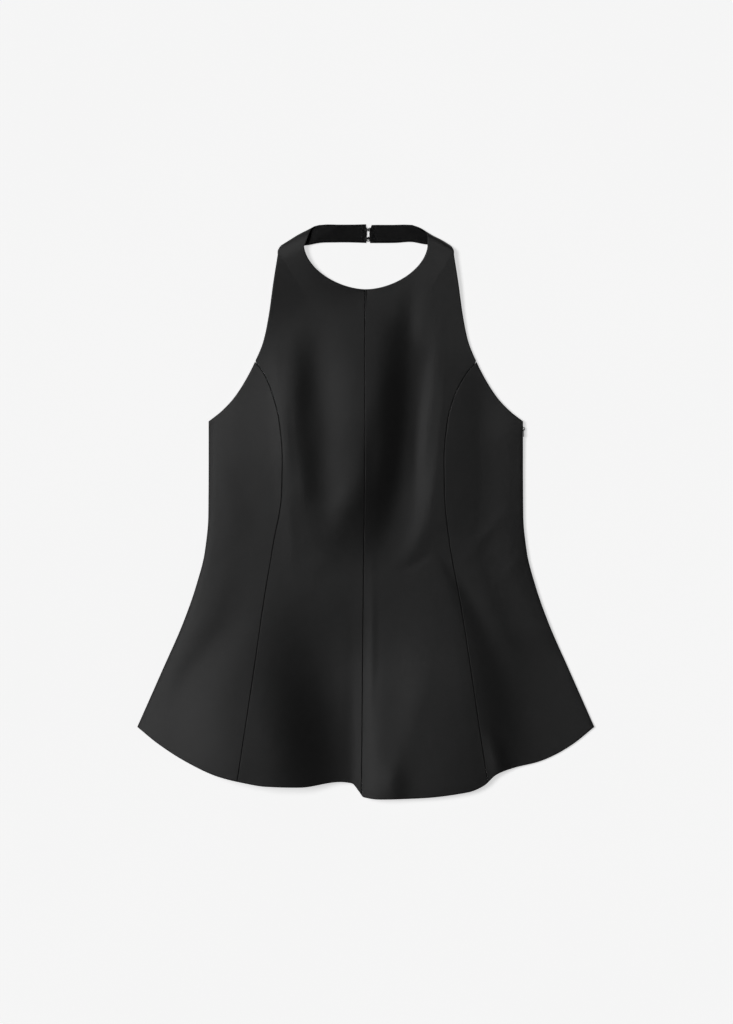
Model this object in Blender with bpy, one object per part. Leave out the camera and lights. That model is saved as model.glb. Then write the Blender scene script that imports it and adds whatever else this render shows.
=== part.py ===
"""A halter neck top in black crepe, laid flat on its back with the neck towards +Y.

The back panel rests on the surface. Two front centre panels, whose halter straps are cut in one with
them, and two front side panels lie over it in soft folds. Each strap turns over at the shoulder, faced
on its inside, and the two ends meet behind the neck in two hooks and eyes. A concealed zip closes the
wearer's left side seam. Left and right are the wearer's, so the right side lies at -X.
"""

import math
from collections import namedtuple

import bmesh
import bpy

MM = 0.001

# Walls and clearances, in millimetres.
CREPE = 1.6
BACK_WALL = 1.5
FACING_WALL = 1.1
SEAM_GAP = 0.3
FACING_INSET = 0.9

# How high the outside of the front lies, in millimetres.
REST_OVER_BACK = 3.7
REST_ON_SURFACE = 2.3
STEP_DOWN_FROM = 96.0
STEP_DOWN_TO = 170.0

# Half the outline, in millimetres: the distance from the middle at each height.
Edge = namedtuple("Edge", "height out")
UNDERARM = 108.5
SIDE_SEAM = [
    Edge(UNDERARM, 188.6),
    Edge(60.0, 188.6),
    Edge(-5.0, 189.0),
    Edge(-48.0, 193.2),
    Edge(-91.0, 204.2),
    Edge(-134.0, 219.4),
    Edge(-192.0, 244.8),
    Edge(-258.2, 274.0),
]
ARMHOLE = [
    Edge(UNDERARM, 188.6),
    Edge(120.0, 173.8),
    Edge(135.0, 159.3),
    Edge(155.0, 145.8),
    Edge(180.0, 132.8),
    Edge(205.0, 122.8),
    Edge(235.0, 116.6),
    Edge(275.0, 111.0),
    Edge(304.0, 106.4),
]
ARMHOLE_END = 308.0

# The seams down the front, in millimetres: x at each height.
Seam = namedtuple("Seam", "height right centre left")
SEAMS = [
    Seam(180.0, -132.8, -1.0, 132.8),
    Seam(165.0, -121.4, -1.0, 120.0),
    Seam(137.0, -110.4, -1.0, 105.6),
    Seam(108.0, -103.4, -1.0, 98.0),
    Seam(65.0, -99.8, -1.0, 94.0),
    Seam(20.0, -100.8, -1.4, 94.6),
    Seam(-36.0, -110.2, -2.2, 100.4),
    Seam(-108.0, -122.2, -3.0, 113.4),
    Seam(-194.0, -134.4, -3.8, 126.8),
    Seam(-281.0, -147.4, -4.6, 139.6),
    Seam(-345.0, -157.0, -5.2, 149.6),
]
PRINCESS_TOP = 180.0

# The front hem, in millimetres, from the wearer's right side seam to the left one. It drops in a short
# step beside each of the two folds that stand up from it.
HemPoint = namedtuple("HemPoint", "x y")
FRONT_HEM = [
    HemPoint(-274.0, -258.2),
    HemPoint(-248.2, -278.6),
    HemPoint(-213.4, -300.2),
    HemPoint(-177.4, -316.6),
    HemPoint(-150.0, -323.6),
    HemPoint(-118.6, -328.8),
    HemPoint(-79.0, -330.0),
    HemPoint(-31.0, -323.8),
    HemPoint(-16.6, -325.4),
    HemPoint(-9.4, -333.4),
    HemPoint(-2.4, -342.0),
    HemPoint(17.0, -344.6),
    HemPoint(62.6, -343.4),
    HemPoint(122.6, -336.2),
    HemPoint(140.6, -329.0),
    HemPoint(157.4, -314.6),
    HemPoint(177.8, -307.0),
    HemPoint(206.6, -300.0),
    HemPoint(226.0, -292.0),
    HemPoint(248.6, -278.6),
    HemPoint(274.0, -258.2),
]

# The back panel, in millimetres: a shallow scoop at the top and an arc at the hem.
BACK_TOP = 103.0
BACK_SCOOP = 22.0
BACK_HEM_MIDDLE = -321.0
BACK_HEM_SIDE = -257.4
BACK_INSET = 0.6

# The neckline, in millimetres: a quarter of a superellipse on each side.
NECK_HALF_WIDTH = 74.0
NECK_DEPTH = 53.0
NECK_LEVEL = 320.0
NECK_POWER = 1.8
NECK_END_ANGLE = math.radians(80)

# The turn of the strap at the shoulder, in millimetres, measured from the middle of the top.
TURN_OUT = 89.2
TURN_HEIGHT = 323.2
TURN_ANGLE = math.radians(32.2)
TURN_RADIUS = 3.6
TURN_REACH = 120.0
HALF_TURN = math.pi * TURN_RADIUS

# Lines across the strap behind the neck, in millimetres: where each meets the strap's lower edge,
# which is the armhole's, and its upper edge, which is the neckline's.
StrapLine = namedtuple("StrapLine", "lower_out lower_height upper_out upper_height")
STRAP_LINES = [
    StrapLine(73.0, 320.2, 47.0, 344.4),
    StrapLine(55.0, 323.4, 33.0, 344.4),
    StrapLine(36.0, 323.8, 22.0, 344.4),
    StrapLine(18.0, 323.8, 11.0, 344.4),
]
STRAP_LOW_EDGE = 323.8
STRAP_TOP_EDGE = 344.4

# What differs between the wearer's right and left, in millimetres.
Shoulder = namedtuple("Shoulder", "sign neckline_meets_turn strap_end")
RIGHT = Shoulder(-1, 27.0, -0.6)
LEFT = Shoulder(1, 19.0, 5.2)
ARMHOLE_MEETS_TURN = -19.5
ARMHOLE_LEAVES_TURN = -3.8
NECKLINE_LEAVES_TURN = 39.5

# The folds that the front lies in, in millimetres. Each is a ridge along a line from `top` to `low`, bent
# sideways by `bow`, and those that flare run on past the hem. It grows over `rise` from its top and dies
# away over `fall` to its low end. A flank says how wide the fold is on one side, at its top and at its
# low end, and a `round` above 2 makes a flatter top.
Flank = namedtuple("Flank", "top low round")
Fold = namedtuple("Fold", "name top low bow rise fall right left high")
BODY_FLANK = Flank(105, 230, 3)
FOLDS = [
    Fold("bust, right", (-88, 250), (-66, -60), -16, 130, 140, Flank(76, 76, 1.2), Flank(28, 28, 2.4), 11.2),
    Fold("middle", (-5, 280), (-42, -84), 14, 170, 140, Flank(70, 60, 2.2), Flank(44, 44, 3.6), 12.4),
    Fold("bust, left", (98, 226), (68, -66), 6, 90, 95, Flank(19.5, 15, 2), Flank(60, 60, 2), 3.3),
    Fold("body", (-40, 260), (0, -190), 0, 110, 110, BODY_FLANK, BODY_FLANK, 3.9),
    Fold("waist", (-50, 50), (-30, -190), 0, 120, 130, Flank(110, 110, 2), Flank(190, 190, 2), 3.4),
    Fold("hem, right", (-166, -60), (-130, -360), 0, 250, 10, Flank(55, 124, 2.5), Flank(66, 92, 2.9), 23),
    Fold("hem, left", (75, -40), (10, -360), 36, 190, 10, Flank(104, 50, 1.9), Flank(2, 155, 4.6), 10.2),
]
# How far in from its side seam the front takes to rise onto its folds.
RISE_RIGHT = 45.0
RISE_LEFT = 84.0

# The zip in the wearer's left side seam, in millimetres.
ZIP_TOP = 93.0
ZIP_FOOT = -135.0
ZIP_WIDTH = 10.4
ZIP_INSET = 0.7
ZIP_LOW = BACK_WALL + SEAM_GAP
ZIP_HIGH = 3.2
ZIP_LIFT = 1.8
ZIP_LIFT_WIDTH = 44.0
SLIDER_LIFT = 1.0
SLIDER_LIFT_REACH = 22.0
SLIDER_MIDDLE = 99.4
SLIDER_LENGTH = 8.4
SLIDER_WIDTH = 5.6
SLIDER_FACE = 188.7
SLIDER_HIGH = 4.1
BRIDGE_LENGTH = 4.4
BRIDGE_WIRE = 0.8
BRIDGE_WIDTH = 1.2
BRIDGE_ROOM = 1.5
TAB_LENGTH = 9.6
TAB_TOP_WIDTH = 4.0
TAB_FOOT_WIDTH = 4.8
TAB_THICKNESS = 0.8
TAB_BAR = 0.9
TAB_EYE_LENGTH = 3.2
TAB_EYE_WIDTH = 2.0

# Hooks and eyes behind the neck, in millimetres.
WIRE = 0.8
HOOK_HEIGHTS = {"upper": 338.2, "lower": 328.1}
STRAP_TOP_FACE = CREPE + SEAM_GAP + FACING_WALL

# Grid divisions.
BODY_ROWS = 38
NECK_ROWS = 8
TURN_ROWS = 9
STRAP_ROWS = 8
CENTRE_COLUMNS = 12
SIDE_ROWS = 24
SIDE_COLUMNS = 9
FACING_COLUMNS = 4

# Each front panel is one piece of cloth, made as shorter solids with a narrow gap between them, so that
# the collision shapes can follow its folds and its neckline. Each solid starts at a row of the panel.
CENTRE_SOLIDS = {
    "front_centre_hem": 0,
    "front_centre_panel": 18,
    "front_yoke": 35,
    "neck_strap": BODY_ROWS + NECK_ROWS + 3,
}
SIDE_SOLIDS = {"front_side_hem": 0, "front_side_panel": 12}


def smooth_curve(knots):
    """A function through (position, value) knots that never overshoots between them."""
    knots = sorted(knots)
    places = [k[0] for k in knots]
    values = [k[1] for k in knots]
    steps = [b - a for a, b in zip(places, places[1:])]
    rates = [(b - a) / s for a, b, s in zip(values, values[1:], steps)]
    slopes = [rates[0]]
    for before, after in zip(rates, rates[1:]):
        slopes.append(2 * before * after / (before + after) if before * after > 0 else 0.0)
    slopes.append(rates[-1])

    def value(at):
        if at <= places[0]:
            return values[0] + slopes[0] * (at - places[0])
        if at >= places[-1]:
            return values[-1] + slopes[-1] * (at - places[-1])
        i = max(k for k, place in enumerate(places) if place <= at)
        t = (at - places[i]) / steps[i]
        start = (1 + 2 * t) * (1 - t) ** 2 * values[i] + t * (1 - t) ** 2 * steps[i] * slopes[i]
        end = t * t * (3 - 2 * t) * values[i + 1] - t * t * (1 - t) * steps[i] * slopes[i + 1]
        return start + end

    return value


side_out = smooth_curve([(row.height, row.out) for row in SIDE_SEAM])
armhole_out = smooth_curve([(row.height, row.out) for row in ARMHOLE])
centre_x = smooth_curve([(row.height, row.centre) for row in SEAMS])
princess_x = {
    RIGHT: smooth_curve([(row.height, row.right) for row in SEAMS]),
    LEFT: smooth_curve([(row.height, row.left) for row in SEAMS]),
}
front_hem = smooth_curve([(p.x, p.y) for p in FRONT_HEM])


def ease(t):
    """0 up to 0, 1 from 1 on, and smooth between."""
    t = min(1.0, max(0.0, t))
    return t * t * (3 - 2 * t)


def mix(a, b, t):
    return a + (b - a) * t


def to_turn(out, height):
    """How far along the shoulder's turn a point lies, and how far past it, as if the strap lay open."""
    x, y = TURN_OUT - out, height - TURN_HEIGHT
    c, s = math.cos(TURN_ANGLE), math.sin(TURN_ANGLE)
    return x * c + y * s, y * c - x * s


def from_turn(along, past):
    """The reverse of to_turn: (out, height)."""
    c, s = math.cos(TURN_ANGLE), math.sin(TURN_ANGLE)
    return TURN_OUT - (along * c - past * s), TURN_HEIGHT + along * s + past * c


def unfolded(out, height):
    """Where a point of the strap behind the neck lies along and past the turn when opened out."""
    along, past = to_turn(out, height)
    return along, HALF_TURN - past


def fold_height(fold, x, y):
    """How much one fold lifts the front at a point."""
    (x_top, y_top), (x_low, y_low) = fold.top, fold.low
    t = (y_top - y) / (y_top - y_low)
    line = mix(x_top, x_low, t) + fold.bow * 4 * t * (1 - t)
    flank = fold.right if x < line else fold.left
    away = abs(x - line) / mix(flank.top, flank.low, min(1.0, max(0.03, t)))
    length = ease((y_top - y) / fold.rise) * ease((y - y_low) / fold.fall)
    return fold.high * length * math.exp(-(away**flank.round))


def seam_rise(x, y):
    """0 at the side seams and 1 well inside them, steepest at the seams."""
    inside = (side_out(min(y, UNDERARM)) - abs(x)) / (RISE_RIGHT if x < 0 else RISE_LEFT)
    return 1 - (1 - min(1.0, max(0.0, inside))) ** 3


def zip_lift(x, y):
    """How much the zip and its slider lift the front beside the wearer's left side seam."""
    near = 1 - ease((side_out(min(y, UNDERARM)) - 12 - x) / ZIP_LIFT_WIDTH)
    along = ease((y - ZIP_FOOT + 40) / 40)
    slider = SLIDER_LIFT * math.exp(-(((y - SLIDER_MIDDLE) / SLIDER_LIFT_REACH) ** 2))
    return near * (ZIP_LIFT * along + slider)


def front_height(x, y):
    """The height of the outside of the front over the surface."""
    rest = mix(REST_OVER_BACK, REST_ON_SURFACE, ease((y - STEP_DOWN_FROM) / (STEP_DOWN_TO - STEP_DOWN_FROM)))
    rest += sum(fold_height(fold, x, y) for fold in FOLDS) * seam_rise(x, y) + zip_lift(x, y)
    past = to_turn(abs(x), y)[1]
    return mix(rest, 2 * TURN_RADIUS, ease((past + TURN_REACH) / TURN_REACH))


def front_point(x, y, depth):
    """A point of the front, `depth` millimetres inside its outer face."""
    d = 0.5
    dx = (front_height(x + d, y) - front_height(x - d, y)) / (2 * d)
    dy = (front_height(x, y + d) - front_height(x, y - d)) / (2 * d)
    return x, y, front_height(x, y) - depth * math.sqrt(1 + dx * dx + dy * dy)


def strap_point(side, along, past, depth):
    """A point of the strap, `depth` millimetres inside its outer face, where it passes the shoulder."""
    if past <= 0:
        out, height = from_turn(along, past)
        return front_point(side.sign * out, height, depth)
    angle = min(math.pi, past / TURN_RADIUS)
    reach = (TURN_RADIUS - depth) * math.sin(angle) - max(0.0, past - HALF_TURN)
    out, height = from_turn(along, reach)
    return side.sign * out, height, TURN_RADIUS + (TURN_RADIUS - depth) * math.cos(angle)


def neckline(t):
    """(out, height) on the neckline, from the centre seam at 0 to the strap at 1."""
    angle = max(0.0, t) * NECK_END_ANGLE
    out = NECK_HALF_WIDTH * math.sin(angle) ** (2 / NECK_POWER)
    return out, NECK_LEVEL - NECK_DEPTH * math.cos(angle) ** (2 / NECK_POWER)


def strap_lines(side):
    """Lines across the strap from the neckline's end to its own, as pairs of (along, past)."""
    lines = [(to_turn(armhole_out(ARMHOLE_END), ARMHOLE_END), to_turn(*neckline(1)))]
    lines.append(((ARMHOLE_MEETS_TURN, 0.0), (side.neckline_meets_turn, 0.0)))
    lines.append(((ARMHOLE_LEAVES_TURN, HALF_TURN), (NECKLINE_LEAVES_TURN, HALF_TURN)))
    for row in STRAP_LINES:
        lines.append(
            (unfolded(row.lower_out, row.lower_height), unfolded(row.upper_out, row.upper_height))
        )
    end = side.strap_end
    lines.append((unfolded(end, STRAP_LOW_EDGE), unfolded(end, STRAP_TOP_EDGE)))
    return lines


def strap_rows(side, first=0.0):
    """Rows of the strap, each a pair of (along, past) at the armhole's edge and at the neckline's.
    `first` skips that share of the stretch in front of the turn."""
    lines = strap_lines(side)
    curves = [
        [smooth_curve([(i, line[edge][part]) for i, line in enumerate(lines)]) for part in (0, 1)]
        for edge in (0, 1)
    ]
    stations = [first + (1 - first) * i / 3 for i in range(3)]
    stations += [1 + i / TURN_ROWS for i in range(TURN_ROWS)]
    back = len(lines) - 3
    stations += [2 + back * i / STRAP_ROWS for i in range(STRAP_ROWS + 1)]
    return [[(along(s), past(s)) for along, past in curves] for s in stations]


def inset_rows(rows, inset):
    """Rows of point pairs with both ends of each drawn in by `inset` millimetres."""
    drawn = []
    for (a0, p0), (a1, p1) in rows:
        share = inset / math.hypot(a1 - a0, p1 - p0)
        drawn.append(
            [(mix(a0, a1, share), mix(p0, p1, share)), (mix(a1, a0, share), mix(p1, p0, share))]
        )
    return drawn


def centre_panel_plan(side):
    """Rows of (x, y) over a front centre panel, hem to shoulder, from the outer edge to the inner."""
    half_gap = SEAM_GAP / 2
    sign = side.sign
    rows = []
    neck_out, neck_height = neckline(0)
    shoulder_start = neck_height - 10
    for j in range(BODY_ROWS + 1):
        row = []
        for i in range(CENTRE_COLUMNS + 1):
            u = i / CENTRE_COLUMNS
            top = mix(shoulder_start, neck_height, u)
            y = front_hem(mix(princess_x[side](-320), centre_x(-320), u))
            y = mix(y, top, j / BODY_ROWS)
            outer = princess_x[side](y) if y < PRINCESS_TOP else sign * armhole_out(y)
            outer -= sign * half_gap if y < PRINCESS_TOP else 0
            inner = centre_x(y) + sign * half_gap
            x = mix(outer, inner, u)
            if j == 0:
                y = front_hem(x)
            row.append((x, y))
        rows.append(row)
    for j in range(1, NECK_ROWS):
        t = j / NECK_ROWS
        out, height = neckline(t)
        inner = (sign * out, height)
        y = mix(shoulder_start, ARMHOLE_END, t)
        outer = (sign * armhole_out(y), y)
        row = []
        for i in range(CENTRE_COLUMNS + 1):
            u = i / CENTRE_COLUMNS
            row.append((mix(outer[0], inner[0], u), mix(outer[1], inner[1], u)))
        rows.append(row)
    return rows


def side_panel_plan(side):
    """Rows of (x, y) over a front side panel, hem to armhole, from the side seam to the princess seam."""
    half_gap = SEAM_GAP / 2
    sign = side.sign
    rows = []
    for j in range(SIDE_ROWS + 1):
        row = []
        for i in range(SIDE_COLUMNS + 1):
            u = i / SIDE_COLUMNS
            low = front_hem(mix(sign * side_out(-258), princess_x[side](-320), u))
            top = mix(UNDERARM, PRINCESS_TOP, u)
            y = mix(low, top, j / SIDE_ROWS)
            outer = sign * side_out(min(y, UNDERARM))
            inner = princess_x[side](y) + sign * half_gap
            if j == SIDE_ROWS:
                outer = inner = sign * armhole_out(y)
            x = mix(outer, inner, u)
            if j == 0:
                y = front_hem(x)
            row.append((x, y))
        rows.append(row)
    return rows


def mesh_object(name, bm, material, smooth=True):
    """An object of this name from a bmesh in millimetres, with its normals out."""
    bmesh.ops.recalc_face_normals(bm, faces=bm.faces)
    bmesh.ops.scale(bm, vec=(MM, MM, MM), verts=bm.verts)
    mesh = bpy.data.meshes.new(name)
    bm.to_mesh(mesh)
    bm.free()
    if smooth:
        mesh.shade_smooth()
        mesh.set_sharp_from_angle(angle=math.radians(40))
    mesh.materials.append(material)
    made = bpy.data.objects.new(name, mesh)
    bpy.context.scene.collection.objects.link(made)
    return made


def wall(name, outside, inside, material):
    """A closed wall between two grids of points with the same rows and columns."""
    bm = bmesh.new()
    faces = [[[bm.verts.new(p) for p in row] for row in grid] for grid in (outside, inside)]
    rows, columns = len(outside), len(outside[0])
    for grid in faces:
        for j in range(rows - 1):
            for i in range(columns - 1):
                bm.faces.new((grid[j][i], grid[j][i + 1], grid[j + 1][i + 1], grid[j + 1][i]))
    rim = [(0, i) for i in range(columns)]
    rim += [(j, columns - 1) for j in range(1, rows)]
    rim += [(rows - 1, i) for i in range(columns - 2, -1, -1)]
    rim += [(j, 0) for j in range(rows - 2, 0, -1)]
    for (j0, i0), (j1, i1) in zip(rim, rim[1:] + rim[:1]):
        bm.faces.new((faces[0][j0][i0], faces[0][j1][i1], faces[1][j1][i1], faces[1][j0][i0]))
    return mesh_object(name, bm, material)


def plate(name, outline, low, high, material):
    """A flat closed plate: an outline of (x, y) from height low to height high."""
    bm = bmesh.new()
    floor = bm.faces.new([bm.verts.new((x, y, low)) for x, y in outline])
    lifted = bmesh.ops.extrude_face_region(bm, geom=[floor])["geom"]
    moved = [v for v in lifted if isinstance(v, bmesh.types.BMVert)]
    bmesh.ops.translate(bm, verts=moved, vec=(0, 0, high - low))
    return mesh_object(name, bm, material)


def wire(name, route, material):
    """A round wire along points in millimetres, its ends filled."""
    curve = bpy.data.curves.new(name, "CURVE")
    curve.dimensions = "3D"
    curve.bevel_depth = WIRE / 2 * MM
    curve.bevel_resolution = 1
    curve.use_fill_caps = True
    spline = curve.splines.new("POLY")
    spline.points.add(len(route) - 1)
    for point, (x, y, z) in zip(spline.points, route):
        point.co = (x * MM, y * MM, z * MM, 1)
    curve.materials.append(material)
    made = bpy.data.objects.new(name, curve)
    bpy.context.scene.collection.objects.link(made)
    return made


def material(name, colour, roughness, metallic=0.0):
    made = bpy.data.materials.new(name)
    made.use_nodes = True
    shader = made.node_tree.nodes["Principled BSDF"]
    shader.inputs["Base Color"].default_value = (*colour, 1)
    shader.inputs["Roughness"].default_value = roughness
    shader.inputs["Metallic"].default_value = metallic
    return made


def rows_between(grid, first, last):
    """A stretch of a grid's rows. It starts a gap's width after its first row, unless that is the hem."""
    rows = grid[first : last + 1]
    if first > 0:
        start = []
        for a, b in zip(rows[0], rows[1]):
            share = SEAM_GAP / math.dist(a, b)
            start.append([mix(p, q, share) for p, q in zip(a, b)])
        rows[0] = start
    return rows


def front_solids(solids, grids, word, crepe):
    """The solids of a front panel, from its hem up."""
    starts = list(solids.values())
    lasts = [*starts[1:], len(grids[0]) - 1]
    for name, first, last in zip(solids, starts, lasts):
        wall(f"{name}_{word}", *(rows_between(grid, first, last) for grid in grids), crepe)


def front_centre_panel(side, word, crepe):
    """A front centre panel with its strap, which turns over at the shoulder."""
    plan = centre_panel_plan(side)
    strap = strap_rows(side)
    grids = []
    for depth in (0.0, CREPE):
        grid = [[front_point(x, y, depth) for x, y in row] for row in plan]
        for (a0, p0), (a1, p1) in strap:
            shares = [i / CENTRE_COLUMNS for i in range(CENTRE_COLUMNS + 1)]
            grid.append([strap_point(side, mix(a0, a1, u), mix(p0, p1, u), depth) for u in shares])
        grids.append(grid)
    front_solids(CENTRE_SOLIDS, grids, word, crepe)


def front_side_panel(side, word, crepe):
    plan = side_panel_plan(side)
    grids = [[[front_point(x, y, depth) for x, y in row] for row in plan] for depth in (0.0, CREPE)]
    front_solids(SIDE_SOLIDS, grids, word, crepe)


def neck_facing(side, name, cloth):
    """The strap's inside layer, from just below the shoulder round the turn to the strap's end."""
    rows = inset_rows(strap_rows(side, first=0.45), FACING_INSET)
    (a0, p0), (a1, p1) = rows[-1]
    rows[-1] = [(a0 - FACING_INSET, p0 - FACING_INSET), (a1 - FACING_INSET, p1 - FACING_INSET)]
    shares = [i / FACING_COLUMNS for i in range(FACING_COLUMNS + 1)]
    grids = []
    for depth in (CREPE + SEAM_GAP, CREPE + SEAM_GAP + FACING_WALL):
        grid = []
        for (a0, p0), (a1, p1) in rows:
            grid.append([strap_point(side, mix(a0, a1, u), mix(p0, p1, u), depth) for u in shares])
        grids.append(grid)
    return wall(name, *grids, cloth)


def back_panel(name, crepe):
    """The back, in one piece: flat on the surface, with its side seams under the front's."""
    corner = side_out(BACK_HEM_SIDE) - BACK_INSET
    drop = BACK_HEM_SIDE - BACK_HEM_MIDDLE
    radius = (corner**2 + drop**2) / (2 * drop)
    hem = []
    for i in range(25):
        x = mix(-corner, corner, i / 24)
        hem.append((x, BACK_HEM_MIDDLE + radius - math.sqrt(radius**2 - x * x)))
    seam = []
    for i in range(1, 14):
        y = mix(BACK_HEM_SIDE, BACK_TOP, i / 14)
        seam.append((side_out(y) - BACK_INSET, y))
    top = []
    width = side_out(BACK_TOP) - BACK_INSET
    for i in range(17):
        x = mix(width, -width, i / 16)
        top.append((x, BACK_TOP - BACK_SCOOP * (1 - (x / width) ** 2)))
    outline = hem + seam + top + [(-x, y) for x, y in reversed(seam)]
    return plate(name, outline, 0.0, BACK_WALL, crepe)


def side_zip(name, tape):
    """The closed zip between the front and the back, just inside the side seam."""
    rows = []
    for j in range(17):
        y = mix(ZIP_FOOT, ZIP_TOP, j / 16)
        edge = side_out(y) - ZIP_INSET
        rows.append([(edge - ZIP_WIDTH, y), (edge, y)])
    grids = [[[(x, y, z) for x, y in row] for row in rows] for z in (ZIP_HIGH, ZIP_LOW)]
    return wall(name, *grids, tape)


def box_between(bm, low, high):
    made = bmesh.ops.create_cube(bm, size=1.0)["verts"]
    size = [b - a for a, b in zip(low, high)]
    middle = [(a + b) / 2 for a, b in zip(low, high)]
    bmesh.ops.scale(bm, vec=size, verts=made)
    bmesh.ops.translate(bm, vec=middle, verts=made)
    return made


def helper(name, bm, material):
    """A shape that only cuts or joins another."""
    made = mesh_object(name, bm, material, smooth=False)
    made.hide_render = True
    made.display_type = "WIRE"
    return made


def combine(target, tool, operation):
    joined = target.modifiers.new(operation.title(), "BOOLEAN")
    joined.operation = operation
    joined.object = tool


def zip_slider(name, metal):
    """The slider's body inside the seam, with the bridge that its tab hangs from."""
    middle_z = (ZIP_LOW + SLIDER_HIGH) / 2
    bm = bmesh.new()
    low = (SLIDER_FACE - SLIDER_WIDTH, SLIDER_MIDDLE - SLIDER_LENGTH / 2, ZIP_LOW)
    high = (SLIDER_FACE, SLIDER_MIDDLE + SLIDER_LENGTH / 2, SLIDER_HIGH)
    box_between(bm, low, high)
    upright = [e for e in bm.edges if abs(e.verts[0].co.z - e.verts[1].co.z) > 0.1]
    bmesh.ops.bevel(bm, geom=upright, offset=1.0, segments=3, affect="EDGES")
    body = mesh_object(name, bm, metal)
    bm = bmesh.new()
    outer_face = SLIDER_FACE + BRIDGE_ROOM + BRIDGE_WIRE
    half = BRIDGE_LENGTH / 2
    sink = 0.6
    box_between(
        bm,
        (SLIDER_FACE - sink, SLIDER_MIDDLE - half, middle_z - BRIDGE_WIDTH / 2),
        (outer_face, SLIDER_MIDDLE + half, middle_z + BRIDGE_WIDTH / 2),
    )
    corners = [e for e in bm.edges if all(v.co.x > outer_face - 0.1 for v in e.verts)]
    corners = [e for e in corners if abs(e.verts[0].co.z - e.verts[1].co.z) > 0.1]
    bmesh.ops.bevel(bm, geom=corners, offset=0.7, segments=3, affect="EDGES")
    bridge = helper("bridge_blank", bm, metal)
    bm = bmesh.new()
    box_between(
        bm,
        (SLIDER_FACE, SLIDER_MIDDLE - half + BRIDGE_WIRE, middle_z - BRIDGE_WIDTH),
        (SLIDER_FACE + BRIDGE_ROOM, SLIDER_MIDDLE + half - BRIDGE_WIRE, middle_z + BRIDGE_WIDTH),
    )
    window = helper("bridge_window", bm, metal)
    combine(body, bridge, "UNION")
    combine(body, window, "DIFFERENCE")
    return body


def zip_pull_tab(name, metal):
    """The pull tab, whose top bar passes under the bridge. Its origin is on its hinge's axis."""
    axis_x = SLIDER_FACE + BRIDGE_ROOM / 2
    middle_z = (ZIP_LOW + SLIDER_HIGH) / 2
    half_top = TAB_TOP_WIDTH / 2
    half_foot = TAB_FOOT_WIDTH / 2
    half_bar = TAB_BAR / 2
    shoulder = -(TAB_EYE_LENGTH + half_bar)
    profile = [(half_bar, -half_top), (half_bar, half_top), (shoulder, half_top)]
    centre = -(TAB_LENGTH - half_foot)
    for i in range(9):
        angle = math.pi * i / 8
        profile.append((centre - half_foot * math.sin(angle), half_foot * math.cos(angle)))
    profile.append((shoulder, -half_top))
    bm = bmesh.new()
    half = TAB_THICKNESS / 2
    face = bm.faces.new([bm.verts.new((-half, y, z)) for y, z in profile])
    lifted = bmesh.ops.extrude_face_region(bm, geom=[face])["geom"]
    moved = [v for v in lifted if isinstance(v, bmesh.types.BMVert)]
    bmesh.ops.translate(bm, verts=moved, vec=(TAB_THICKNESS, 0, 0))
    tab = mesh_object(name, bm, metal)
    tab.location = (axis_x * MM, SLIDER_MIDDLE * MM, middle_z * MM)
    bm = bmesh.new()
    low = (-1.0, -half_bar - TAB_EYE_LENGTH + TAB_BAR, -TAB_EYE_WIDTH / 2)
    box_between(bm, low, (1.0, -half_bar, TAB_EYE_WIDTH / 2))
    eye = helper("tab_eye", bm, metal)
    eye.location = tab.location
    combine(tab, eye, "DIFFERENCE")
    return tab


def sewing_ring(x, y, turn, z):
    """Points round a sewing ring that starts open and ends at its foot, heading along the strap."""
    radius = 1.0
    points = []
    for i in range(7):
        angle = math.radians(20 + 250 * i / 6)
        points.append((x + radius * math.cos(angle), y + turn * radius * math.sin(angle), z))
    return points


def neck_hook(name, height, metal):
    """A hook of doubled wire, from its rings on the strap's end, over the eye's bar and back under it."""
    lie = STRAP_TOP_FACE + SEAM_GAP + WIRE / 2
    half = WIRE / 2 + SEAM_GAP / 2
    route = sewing_ring(-4.0, half + 1.0, 1, lie)
    route += [
        (-1.6, half, lie),
        (0.2, half, lie + 0.35),
        (1.4, half, lie + 1.15),
        (2.6, half, lie + 1.3),
        (3.6, half, lie + 0.95),
        (4.1, half, lie + 0.05),
        (3.7, half, lie - 0.8),
        (2.9, half, lie - 1.2),
        (2.1, half, lie - 1.25),
        (1.55, half * 0.6, lie - 1.25),
    ]
    route = [(x, height + y, z) for x, y, z in route]
    route += [(x, 2 * height - y, z) for x, y, z in reversed(route)]
    return wire(name, route, metal)


def neck_eye(name, height, metal):
    """An eye of bent wire, from its rings on the other strap's end, round the bar that the hook holds."""
    lie = STRAP_TOP_FACE + SEAM_GAP + WIRE / 2
    bend = 1.65
    bar = 2.4
    ring = [(12.2 - x, y, z) for x, y, z in sewing_ring(3.9, bend + 1.0, 1, lie)]
    route = ring + [(6.4, bend, lie)]
    for i in range(7):
        angle = math.pi * i / 12
        route.append((bar + bend - bend * math.sin(angle), bend * math.cos(angle), lie))
    route = [(x, height + y, z) for x, y, z in route]
    route += [(x, 2 * height - y, z) for x, y, z in reversed(route[:-1])]
    return wire(name, route, metal)


def build():
    for old in list(bpy.data.objects):
        bpy.data.objects.remove(old, do_unlink=True)
    crepe = material("black_crepe", (0.020, 0.020, 0.021), 0.8)
    lining = material("black_facing", (0.008, 0.008, 0.010), 0.6)
    tape = material("black_zip_tape", (0.012, 0.012, 0.012), 0.7)
    metal = material("blackened_metal", (0.030, 0.030, 0.032), 0.4, 0.9)
    back_panel("back_panel", crepe)
    for side, word in ((RIGHT, "right"), (LEFT, "left")):
        front_centre_panel(side, word, crepe)
        front_side_panel(side, word, crepe)
        neck_facing(side, "neck_facing_" + word, lining)
    side_zip("side_zip", tape)
    zip_slider("zip_slider", metal)
    zip_pull_tab("zip_pull_tab", metal)
    for place, height in HOOK_HEIGHTS.items():
        neck_hook("neck_hook_" + place, height, metal)
        neck_eye("neck_eye_" + place, height, metal)


build()
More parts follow.
